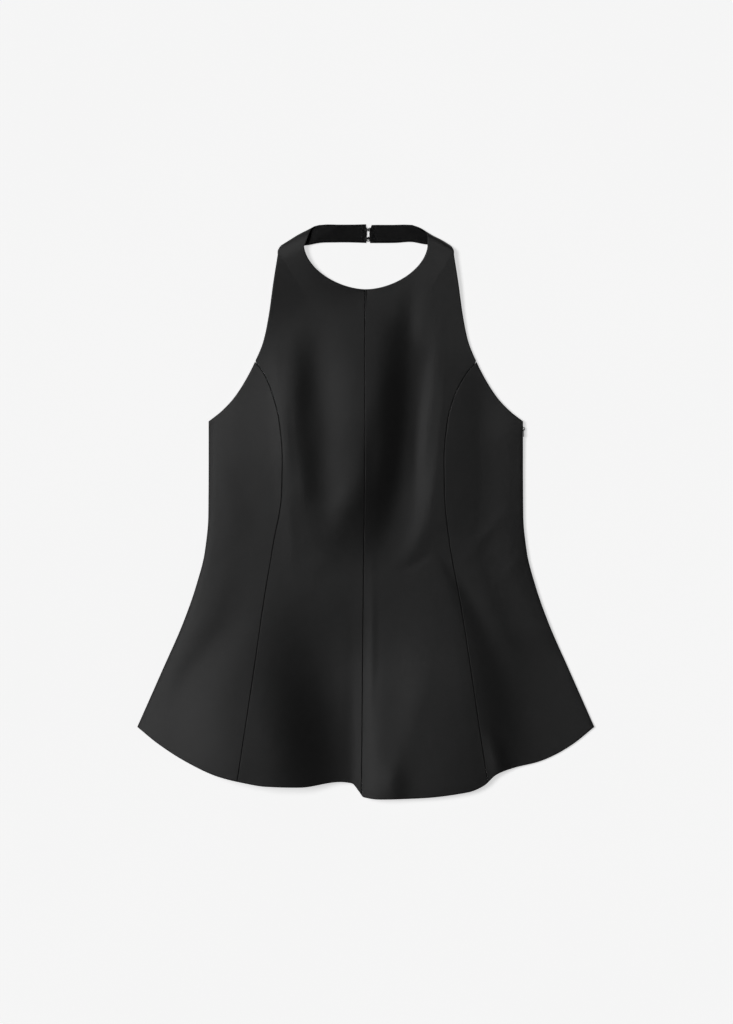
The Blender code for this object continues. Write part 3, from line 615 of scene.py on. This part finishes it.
def centre_panel_grids(side):
    """The outer and inner points of a front centre panel with its strap."""
    sign = side.sign
    _, neck_height = neckline(0)
    shoulder_start = neck_height - YOKE_BELOW_NECK
    touch = sign * SEAM_TOUCH
    # The body, from the hem up.
    low = front_hem(0.5 * (princess_x[side](CENTRE_HEM_LEVEL) + centre_x(CENTRE_HEM_LEVEL)))
    v = near_edges(shoulder_start - low, CENTRE_ROWS, last=False)[:, None]
    y = np.repeat(mix(low, shoulder_start, v), CENTRE_COLUMNS + 2 * len(NEAR_EDGE) - 1, 1)
    for _ in range(ROUNDS):
        outer = np.where(y < PRINCESS_TOP, princess_x[side](y) - touch, sign * armhole_out(y))
        inner = centre_x(y) + touch
        width = np.abs(inner - outer)
        shares = near_edges(width.mean(1), CENTRE_COLUMNS)
        x = mix(outer, inner, shares)
        start = front_hem(x[0])
        top = mix(shoulder_start, neck_height, shares)
        y = mix(start[None, :], top, v)
    body_xy, body_width = np.stack([x, y], -1), width
    seam_share = 1 - ease((y - PRINCESS_TOP + SEAM_FADES_BELOW_TOP) / SEAM_FADE)
    # The yoke, between the neckline and the armhole.
    t = (np.arange(1, YOKE_ROWS) / YOKE_ROWS)[:, None]
    out, height = neckline(t)
    low_y = mix(shoulder_start, ARMHOLE_END, t)
    ends = np.stack([sign * armhole_out(low_y), low_y], -1), np.stack([sign * out, height], -1)
    yoke_width = np.linalg.norm(ends[1] - ends[0], axis=-1)
    yoke_shares = near_edges(yoke_width[:, 0], CENTRE_COLUMNS)
    yoke_xy = mix(ends[0], ends[1], yoke_shares[..., None])
    xy = np.concatenate([body_xy, yoke_xy])
    shares = np.concatenate([shares, yoke_shares])
    width = np.concatenate([body_width, np.repeat(yoke_width, body_width.shape[1], 1)])
    seam_share = np.concatenate([seam_share, np.zeros_like(yoke_shares)])
    centre_share = np.concatenate([np.ones_like(body_width), np.zeros_like(yoke_shares)])
    to_hem = (xy[..., 1] - front_hem(xy[..., 0])) * SQUARE_TO_HEM
    to_outer, to_inner = shares * width, (1 - shares) * width
    below_neck = np.maximum(0, neck_height - xy[..., 1])
    to_neck = np.where(centre_share > 0, below_neck, to_inner)
    free = [np.where(seam_share > 0.5, NO_EDGE, to_outer), to_neck, to_hem]
    outer, inner = edge_depths(WALL, free, [(to_outer, seam_share), (to_inner, centre_share)])
    grids = [front_point(xy[..., 0], xy[..., 1], depth) for depth in (outer, inner)]
    # The strap.
    along, past, free = strap_grid(side, first=0, steps=5, columns=CENTRE_COLUMNS, inset=0)
    outer, inner = edge_depths(WALL, free, [])
    strap = [strap_point(side, along, past, depth) for depth in (outer, inner)]
    return [np.concatenate([a, b]) for a, b in zip(grids, strap)]


def side_panel_grids(side):
    """The outer and inner points of a front side panel."""
    sign = side.sign
    v = near_edges(UNDERARM - SIDE_HEM_LEVEL, SIDE_ROWS)[:, None]
    y = np.repeat(mix(SIDE_HEM_LEVEL, UNDERARM, v), SIDE_COLUMNS + 2 * len(NEAR_EDGE) - 1, 1)
    for _ in range(SIDE_ROUNDS):
        outer = sign * side_out(np.minimum(y, UNDERARM))
        inner = princess_x[side](y) + sign * SEAM_TOUCH
        width = np.abs(outer - inner)
        shares = near_edges(width.mean(1), SIDE_COLUMNS)
        x = mix(outer, inner, shares)
        top_y = mix(UNDERARM, PRINCESS_TOP, shares[-1])
        level_x = mix(sign * side_out(UNDERARM), princess_x[side](top_y), shares[-1])
        lean = sign * armhole_out(top_y) - level_x
        x = x + lean * ease((v - LEAN_FROM) / (1 - LEAN_FROM))
        y = mix(front_hem(x[0])[None, :], top_y[None, :], v)
    to_outer, to_inner = shares * width, (1 - shares) * width
    to_top = (top_y[None, :] - y) * SQUARE_TO_ARMHOLE
    to_hem = (y - y[0]) * SQUARE_TO_SIDE_HEM
    whole = np.ones_like(x)
    outer, inner = edge_depths(WALL, [to_top, to_hem], [(to_outer, whole), (to_inner, whole)])
    shut = ease((to_top - SIDE_STARTS_BELOW) / SIDE_STARTS_OVER)
    outer = np.maximum(outer, SIDE_PRESS[side] * rolled(to_outer, SIDE_PRESS_REACH) * shut)
    closed = SIDE_CLOSE * rolled(to_outer, SIDE_CLOSE_REACH) * shut
    return [front_point(x, y, depth + closed) for depth in (outer, inner)]


# --- Materials ---


class Shading:
    """A new material and short ways to add and join its nodes."""

    def __init__(self, name):
        self.material = bpy.data.materials.new(name)
        self.material.use_nodes = True
        self.tree = self.material.node_tree
        self.surface = self.tree.nodes["Principled BSDF"]
        self.place = self.add("ShaderNodeTexCoord").outputs["Object"]

    def add(self, kind, settings=None, **inputs):
        node = self.tree.nodes.new(kind)
        for name, value in (settings or {}).items():
            setattr(node, name, value)
        return self.fill(node, **inputs)

    def fill(self, node, **inputs):
        for name, value in inputs.items():
            self.join(value, node.inputs[name.replace("_", " ")])
        return node

    def join(self, value, socket):
        if isinstance(value, bpy.types.NodeSocket):
            self.tree.links.new(value, socket)
        else:
            socket.default_value = value

    def noise(self, scale, detail=2.0, roughness=0.5):
        made = self.add("ShaderNodeTexNoise", Vector=self.place, Scale=scale, Detail=detail)
        made.inputs["Roughness"].default_value = roughness
        return made.outputs["Fac"]

    def threads(self, scale, direction):
        settings = {"wave_type": "BANDS", "bands_direction": direction, "wave_profile": "SIN"}
        made = self.add("ShaderNodeTexWave", settings, Vector=self.place, Scale=scale, Distortion=1.5)
        return self.fill(made, Detail=1.0, Detail_Scale=1.5).outputs["Fac"]

    def mottled(self, value, colour, share):
        """A colour made darker by a share where a value is low, and lighter where it is high."""
        made = self.add("ShaderNodeValToRGB", Fac=value)
        stops = ((0.3, 1 - share), (0.7, 1 + share))
        for element, (at, factor) in zip(made.color_ramp.elements, stops):
            element.position = at
            element.color = (*(c * factor for c in colour), 1)
        return made.outputs["Color"]

    def blend(self, a, b, share):
        """The first value, with a share of the second added."""
        made = self.add("ShaderNodeMath", {"operation": "MULTIPLY"})
        self.join(b, made.inputs[0])
        made.inputs[1].default_value = share
        total = self.add("ShaderNodeMath", {"operation": "ADD"})
        self.join(a, total.inputs[0])
        self.join(made.outputs[0], total.inputs[1])
        return total.outputs[0]

    def bump(self, height, strength, distance):
        made = self.add("ShaderNodeBump", Height=height, Strength=strength, Distance=distance)
        self.join(made.outputs["Normal"], self.surface.inputs["Normal"])

    def finish(self, **inputs):
        self.fill(self.surface, **inputs)
        return self.material


def crepe_material():
    """Matt black crepe: a pebbled surface of tightly twisted yarns, with a faint soft sheen."""
    look = cloth_look()
    cloth = Shading("black_crepe")
    patches = cloth.noise(scale=150, detail=3.0, roughness=0.6)
    colour = cloth.mottled(patches, look.crepe_colour, share=0.16)
    pebble = cloth.noise(scale=1.0 / look.grain_size, roughness=0.6)
    warp = cloth.threads(0.35 / look.grain_size, "X")
    weft = cloth.threads(0.35 / look.grain_size, "Y")
    grain = cloth.blend(cloth.blend(pebble, warp, share=0.2), weft, share=0.2)
    cloth.bump(grain, strength=0.35, distance=0.00035)
    rough = cloth.add("ShaderNodeMapRange", Value=pebble, From_Min=0.3, From_Max=0.7)
    cloth.fill(rough, To_Min=0.51, To_Max=0.57)
    cloth.fill(cloth.surface, Specular_IOR_Level=0.6, Sheen_Weight=0.01, Sheen_Roughness=0.5)
    return cloth.finish(Base_Color=colour, Roughness=rough.outputs["Result"])


def facing_material():
    """The strap's inside: smoother black cloth with fine ribs across it. Its dark tone and low gloss are
    partly its own cloth and partly painted shade.
    """
    cloth = Shading("black_facing")
    colour = cloth.mottled(cloth.noise(scale=220, detail=3.0), cloth_look().facing_colour, share=0.2)
    ribs = cloth.blend(cloth.threads(900, "X"), cloth.noise(2200), share=0.6)
    cloth.bump(ribs, strength=0.25, distance=0.0002)
    return cloth.finish(Base_Color=colour, Roughness=0.36, Specular_IOR_Level=0.09)


def grainy_material(name, colour, grain, strength, **inputs):
    """A plain material with a fine grain of a strength."""
    made = Shading(name)
    tone = made.mottled(made.noise(grain / 3), colour, share=0.15)
    made.bump(made.noise(grain), strength, distance=0.0002)
    return made.finish(Base_Color=tone, **inputs)


def tape_material():
    return grainy_material("black_tape", cloth_look().tape_colour, 1600, 0.5, Roughness=0.75)


def thread_material():
    return grainy_material("black_thread", cloth_look().thread_colour, 2600, 0.5, Roughness=0.6)


def metal_material():
    return grainy_material("black_metal", cloth_look().metal_colour, 900, 0.1, Roughness=0.38, Metallic=0.6)


def shared(maker):
    """One material for all the pieces that have it."""
    made = bpy.data.materials.get("black_" + maker.__name__.removesuffix("_material"))
    return made or maker()


# --- Sizes and colours ---


def number(name, description, default, **more):
    return FloatProperty(name=name, description=description, default=default, **more)


def length(name, description, metres):
    return number(name, description, metres, subtype="DISTANCE", unit="LENGTH")


def turn(name, description, degrees):
    return number(name, description, math.radians(degrees), subtype="ANGLE", unit="ROTATION")


def colour(name, description, default):
    return FloatVectorProperty(
        name=name, description=description, default=default, subtype="COLOR", size=3, min=0, max=1
    )


class HalterCloth(PropertyGroup):
    """Sizes and colours of the cloth and its trimmings."""

    seam_roll: length("Seam roll", "How far from a seam the cloth starts to roll in", 0.0005)
    seam_depth: length("Seam depth", "How deep a seam lies under the cloth", 0.0006)
    edge_roll: length("Edge roll", "How far from a faced edge the cloth starts to round over", 0.0012)
    grain_size: length("Grain", "The size of the crepe's pebbled grain", 0.00055)
    crease_strength: number("Creases", "How strongly the small creases show", 1.0, min=0, max=1.5)
    crepe_colour: colour("Crepe", "The cloth's colour", (0.0030, 0.0030, 0.0032))
    # The facing is darker than the crepe: partly its own cloth, partly painted shade where the strap lies
    # behind the neck.
    facing_colour: colour("Facing", "The colour of the strap's inside", (0.0014, 0.0015, 0.0019))
    tape_colour: colour("Zip tape", "The colour of the zip's tape and teeth", (0.010, 0.010, 0.010))
    thread_colour: colour("Thread", "The colour of the sewing thread", (0.014, 0.014, 0.015))
    metal_colour: colour("Metal", "The colour of the hooks, eyes, slider and tab", (0.04, 0.04, 0.042))


class HalterStage(PropertyGroup):
    """The floor, the lights and the camera."""

    floor_colour: colour("Floor", "The floor's colour", (0.86, 0.86, 0.86))
    floor_glow: number("Floor glow", "How much the floor is lit from below", 0.62)
    key_strength: number("Key light", "The strength of the main light", 1.23)
    key_softness: turn("Softness", "How wide the lights are", 24)
    key_elevation: turn("Key elevation", "How high the main light stands over the surface", 56)
    key_heading: turn("Key heading", "Where the main light stands, clockwise from +Y", -72)
    side_strength: number("Side light", "The strength of the weak light", 0.06)
    side_elevation: turn("Side elevation", "How high the weak light stands over the surface", 20)
    side_heading: turn("Side heading", "Where the weak light stands, clockwise from +Y", 110)
    fill: number("Fill", "The brightness of the surroundings", 0.014)
    camera_height: length("Camera height", "How high the camera is over the surface", 6.0)
    pixel: length("Scale", "The size on the surface of one pixel of the view", 0.0012)


# --- Pieces ---


class HALTER_OT_back_panel(Operator):
    """Makes the back panel, which lies flat under the front"""

    bl_idname = "halter.back_panel"
    bl_label = "Back Panel"

    def execute(self, context):
        corner = float(side_out(BACK_HEM_SIDE))
        drop = BACK_HEM_SIDE - BACK_HEM_MIDDLE
        radius = (corner**2 + drop**2) / (2 * drop)
        u = mix(-1, 1, near_edges(2 * corner * BACK_MEAN_WIDTH, BACK_COLUMNS))[None, :]
        v = near_edges(BACK_TOP - BACK_HEM_MIDDLE, BACK_ROWS)[:, None]
        x = u * corner + 0 * v
        for _ in range(ROUNDS):
            low = BACK_HEM_MIDDLE + radius - np.sqrt(radius**2 - x[0] ** 2)
            top = BACK_TOP - BACK_SCOOP * (1 - u[0] ** 2)
            y = mix(low[None, :], top[None, :], v)
            x = u * (side_out(y) - BACK_INSET)
        to_side = (1 - np.abs(u)) * side_out(y)
        free = [(y - y[0]), (y[-1] - y), to_side]
        under, over = edge_depths(BACK_WALL, free, [])
        grids = [np.stack([x, y, depth + 0 * x], -1) for depth in (under, over)]
        panel = shell("back", *grids, shared(crepe_material))
        finish_cloth(panel, ["back_panel"])
        return {"FINISHED"}


def front_panels(name, grids, solids):
    """Makes a panel of the front on each side, in place of its solids."""
    for side in SIDES:
        panel = shell(f"{name}_{side.word}", *grids(side), shared(crepe_material))
        nodes = [f"{solid}_{side.word}" for solid in solids]
        finish_cloth(panel, nodes)


class HALTER_OT_front_centre_panels(Operator):
    """Makes the two front centre panels with their straps, which turn over at the shoulders"""

    bl_idname = "halter.front_centre_panels"
    bl_label = "Front Centre Panels"

    def execute(self, context):
        front_panels("front_centre", centre_panel_grids, CENTRE_SOLIDS)
        return {"FINISHED"}


class HALTER_OT_front_side_panels(Operator):
    """Makes the two front side panels"""

    bl_idname = "halter.front_side_panels"
    bl_label = "Front Side Panels"

    def execute(self, context):
        front_panels("front_side", side_panel_grids, SIDE_SOLIDS)
        return {"FINISHED"}


class HALTER_OT_strap_facings(Operator):
    """Makes the straps' insides, which show behind the neck"""

    bl_idname = "halter.strap_facings"
    bl_label = "Strap Facings"

    def execute(self, context):
        for side in SIDES:
            along, past, free = strap_grid(side, FACING_START, 4, FACING_COLUMNS, FACING_INSET)
            lift, _ = edge_depths(FACING_WALL, free, [])
            under = WALL + FACING_GAP + 0 * lift
            grids = [strap_point(side, along, past, depth) for depth in (under, under + FACING_WALL - lift)]
            facing = shell("strap_facing_" + side.word, *grids, shared(facing_material))
            finish_cloth(facing, ["neck_facing_" + side.word])
        return {"FINISHED"}


class HALTER_OT_side_zip(Operator):
    """Makes the zip's tape and coil in the wearer's left side seam, and finishes its slider and tab"""

    bl_idname = "halter.side_zip"
    bl_label = "Side Zip"

    def execute(self, context):
        y = mix(ZIP_FOOT, ZIP_TOP, np.arange(ZIP_ROWS + 1) / ZIP_ROWS)
        edge = side_out(y) - ZIP_INSET
        across = np.array([0.0, 0.5, 1.0])[None, :]
        x = edge[:, None] - ZIP_WIDTH + (ZIP_WIDTH - COIL_ROOM) * across
        faces = ZIP_HIGH - TAPE_SUNK, ZIP_LOW + TAPE_SUNK
        grids = [np.stack([x, y[:, None] + 0 * x, z + 0 * x], -1) for z in faces]
        tape = shell("zip_tape", *grids, shared(tape_material))
        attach(tape, GARMENT)
        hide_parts("side_zip")
        turns = int((ZIP_TOP - ZIP_FOOT) / COIL_PITCH)
        t = np.arange(turns * TURN_POINTS + 1) / TURN_POINTS
        y = ZIP_FOOT + t * COIL_PITCH
        radius = (ZIP_HIGH - ZIP_LOW) / 2 - COIL_WIRE
        x = side_out(y) - ZIP_INSET - radius - COIL_INSET + radius * np.cos(t * math.tau)
        z = (ZIP_HIGH + ZIP_LOW) / 2 + radius * np.sin(t * math.tau)
        coil = tube("zip_coil", np.stack([x, y, z], -1), COIL_WIRE, shared(tape_material))
        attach(coil, GARMENT)
        for node in ("zip_slider", "zip_pull_tab"):
            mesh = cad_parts[node].data
            mesh.materials.clear()
            mesh.materials.append(shared(metal_material))
        return {"FINISHED"}


def tube(name, points, radius, material, roundness=1):
    """A round thread or wire along points in millimetres, its ends filled."""
    curve = bpy.data.curves.new(name, "CURVE")
    curve.dimensions = "3D"
    curve.bevel_depth = radius * MM
    curve.bevel_resolution = roundness
    curve.use_fill_caps = True
    spline = curve.splines.new("POLY")
    spline.points.add(len(points) - 1)
    flat = np.concatenate([np.asarray(points) * MM, np.ones((len(points), 1))], 1)
    spline.points.foreach_set("co", flat.ravel())
    curve.materials.append(material)
    made = bpy.data.objects.new(name, curve)
    bpy.context.scene.collection.objects.link(made)
    return made


def smoothed(points, per_span=6):
    """A smooth line through points."""
    points = np.asarray(points, float)
    places = np.concatenate([[0], np.cumsum(np.linalg.norm(np.diff(points, axis=0), axis=1))])
    padded = np.concatenate([points[:1] * 2 - points[1:2], points, points[-1:] * 2 - points[-2:-1]])
    made = []
    for i in range(len(points) - 1):
        a, b, c, d = padded[i : i + 4]
        for t in np.arange(per_span) / per_span:
            line = b + (c - a) * t / 2 + (a - 2.5 * b + 2 * c - d / 2) * t**2
            made.append(line + (1.5 * (b - c) + (d - a) / 2) * t**3)
    return np.array([*made, points[-1]])


def sewing_ring(ring, way):
    """Points round a sewing ring that starts open and ends at its foot. `way` turns it round."""
    points = []
    for i in range(WIRE_STEPS + 1):
        angle = math.radians(RING_START + RING_SWEEP * i / WIRE_STEPS)
        along, out = RING_RADIUS * math.cos(angle), RING_RADIUS * math.sin(angle)
        points.append((ring.x + way * along, ring.out + out, WIRE_MIDDLE))
    return points


def wire_route(half, height, back):
    """The whole route of a wire: one half of it, and its first `back` points again on the other side."""
    route = [(x, height + y, z) for x, y, z in half]
    return route + [(x, 2 * height - y, z) for x, y, z in reversed(route[:back])]


def hook_route(height):
    """The wire of a hook: from its rings, over the eye's bar and back under it."""
    half = sewing_ring(HOOK_RING, 1)
    half += [(x, HOOK_HALF * out, WIRE_MIDDLE + up) for x, out, up in HOOK_BENDS]
    return wire_route(half, height, len(half))


def eye_route(height):
    """The wire of an eye: from its rings round the bar that the hook holds."""
    half = [*sewing_ring(EYE_RING, -1), (EYE_SHANK, EYE_BEND, WIRE_MIDDLE)]
    for i in range(WIRE_STEPS + 1):
        angle = math.pi * i / (2 * WIRE_STEPS)
        x = EYE_BAR + EYE_BEND - EYE_BEND * math.sin(angle)
        half.append((x, EYE_BEND * math.cos(angle), WIRE_MIDDLE))
    return wire_route(half, height, len(half) - 1)


def thread(name, points, radius):
    """Sewing thread on the garment."""
    sewn = tube(name, points, radius, shared(thread_material))
    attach(sewn, GARMENT)


def stitches(name, ring, height):
    """Thread wound over a pair of sewing rings, in loops round their wire."""
    points = []
    for y, first, last in (
        (height + ring.out, ring.first, ring.last),
        (height - ring.out, -ring.last, -ring.first),
    ):
        for k in range(STITCH_LOOPS + 1):
            angle = math.radians(mix(first, last, k / STITCH_LOOPS))
            for j in range(TURN_POINTS):
                wound = math.tau * j / TURN_POINTS
                out = RING_RADIUS + STITCH_OUT * math.cos(wound)
                z = WIRE_MIDDLE + STITCH_UP * math.sin(wound)
                points.append((ring.x + out * math.cos(angle), y + out * math.sin(angle), z))
    thread(name, smoothed(points, 2), STITCH_THREAD)


def end_stitches(name, side, wound):
    """Thread wound over a strap's end, some turns looser than others."""
    end = side.lines[-1].lower_out
    points = []
    for i in range(END_TURNS * TURN_POINTS + 1):
        t = i / TURN_POINTS
        reach = wound.reach + 0.35 * math.sin(2.3 * t) + 0.2 * math.sin(5.1 * t + wound.low)
        out = end + END_OUT - reach * math.cos(math.tau * t)
        y = mix(wound.low, wound.high, t / END_TURNS) + 0.25 * math.sin(3.7 * t)
        points.append((side.sign * out, y, END_MIDDLE + END_HALF_HEIGHT * math.sin(math.tau * t)))
    thread(name, points, END_THREAD)


class HALTER_OT_neck_closure(Operator):
    """Makes the hooks and eyes behind the neck and the thread that they are sewn on with"""

    bl_idname = "halter.neck_closure"
    bl_label = "Neck Closure"

    def execute(self, context):
        for place, height in HOOK_HEIGHTS.items():
            for word, route in (("hook", hook_route(height)), ("eye", eye_route(height))):
                metal = shared(metal_material)
                piece = tube(f"{word}_{place}", smoothed(route), WIRE / 2, metal, roundness=2)
                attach(piece, GARMENT)
                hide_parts(f"neck_{word}_{place}")
            stitches("hook_stitches_" + place, HOOK_RING, height)
            stitches("eye_stitches_" + place, EYE_RING, height)
            for side in SIDES:
                end_stitches(f"end_stitches_{side.word}_{place}", side, END_STITCHES[place])
        return {"FINISHED"}


class HALTER_OT_stage(Operator):
    """Makes the pale floor, the soft studio lights and the camera straight above"""

    bl_idname = "halter.stage"
    bl_label = "Stage"

    def execute(self, context):
        scene = context.scene
        look = scene.halter_stage
        mesh = bpy.data.meshes.new("floor")
        corners = [(FLOOR_REACH * x, FLOOR_REACH * y) for x, y in ((-1, -1), (1, -1), (1, 1), (-1, 1))]
        mesh.from_pydata([(x, y, -FLOOR_DROP) for x, y in corners], [], [(0, 1, 2, 3)])
        pale = Shading("pale_floor")
        tone = pale.mottled(pale.noise(scale=3), look.floor_colour, share=0.01)
        pale.fill(pale.surface, Emission_Color=(1, 1, 1, 1), Emission_Strength=look.floor_glow)
        mesh.materials.append(pale.finish(Base_Color=tone, Roughness=0.9))
        floor = bpy.data.objects.new("floor", mesh)
        scene.collection.objects.link(floor)

        world = bpy.data.worlds.new("studio")
        world.use_nodes = True
        background = world.node_tree.nodes["Background"]
        background.inputs["Color"].default_value = (1, 1, 1, 1)
        background.inputs["Strength"].default_value = look.fill
        scene.world = world
        for name, strength, softness, elevation, heading in (
            ("key", look.key_strength, look.key_softness, look.key_elevation, look.key_heading),
            ("side", look.side_strength, look.key_softness, look.side_elevation, look.side_heading),
        ):
            light = bpy.data.lights.new(name, "SUN")
            light.energy = strength
            light.angle = softness
            lamp = bpy.data.objects.new(name, light)
            level = math.cos(elevation)
            way = Vector((level * math.sin(heading), level * math.cos(heading), math.sin(elevation)))
            lamp.location = way * LAMP_DISTANCE
            lamp.rotation_euler = way.to_track_quat("Z", "Y").to_euler()
            scene.collection.objects.link(lamp)

        camera = bpy.data.cameras.new("camera")
        camera.lens = camera.sensor_width * look.camera_height / (VIEW_HEIGHT * look.pixel)
        camera.clip_end = 100
        eye = bpy.data.objects.new("camera", camera)
        x, y = VIEW_MIDDLE[0] - TOP_MIDDLE[0], TOP_MIDDLE[1] - VIEW_MIDDLE[1]
        eye.location = (x * look.pixel, y * look.pixel, look.camera_height)
        scene.collection.objects.link(eye)
        scene.camera = eye
        scene.view_settings.view_transform = "Standard"
        return {"FINISHED"}


class HALTER_PT_sidebar(Panel):
    """The top's sizes, colours and pieces"""

    bl_idname = "HALTER_PT_sidebar"
    bl_label = "Halter Neck Top"
    bl_space_type = "VIEW_3D"
    bl_region_type = "UI"
    bl_category = "Halter Top"

    def draw(self, context):
        layout = self.layout
        for group in (context.scene.halter_cloth, context.scene.halter_stage):
            box = layout.box()
            for name in group.__annotations__:
                box.prop(group, name)
        for operator in PIECES:
            layout.operator(operator.bl_idname)


PIECES = (
    HALTER_OT_back_panel,
    HALTER_OT_front_centre_panels,
    HALTER_OT_front_side_panels,
    HALTER_OT_strap_facings,
    HALTER_OT_side_zip,
    HALTER_OT_neck_closure,
    HALTER_OT_stage,
)
CLASSES = (HalterCloth, HalterStage, *PIECES, HALTER_PT_sidebar)


def register():
    for made in CLASSES:
        bpy.utils.register_class(made)
    bpy.types.Scene.halter_cloth = PointerProperty(type=HalterCloth)
    bpy.types.Scene.halter_stage = PointerProperty(type=HalterStage)


def unregister():
    del bpy.types.Scene.halter_stage
    del bpy.types.Scene.halter_cloth
    for made in reversed(CLASSES):
        bpy.utils.unregister_class(made)


def main():
    """Makes every piece in order."""
    register()
    bpy.ops.halter.back_panel()
    bpy.ops.halter.front_centre_panels()
    bpy.ops.halter.front_side_panels()
    bpy.ops.halter.strap_facings()
    bpy.ops.halter.side_zip()
    bpy.ops.halter.neck_closure()
    bpy.ops.halter.stage()
    bpy.context.view_layer.update()


if __name__ == "__main__":
    main()
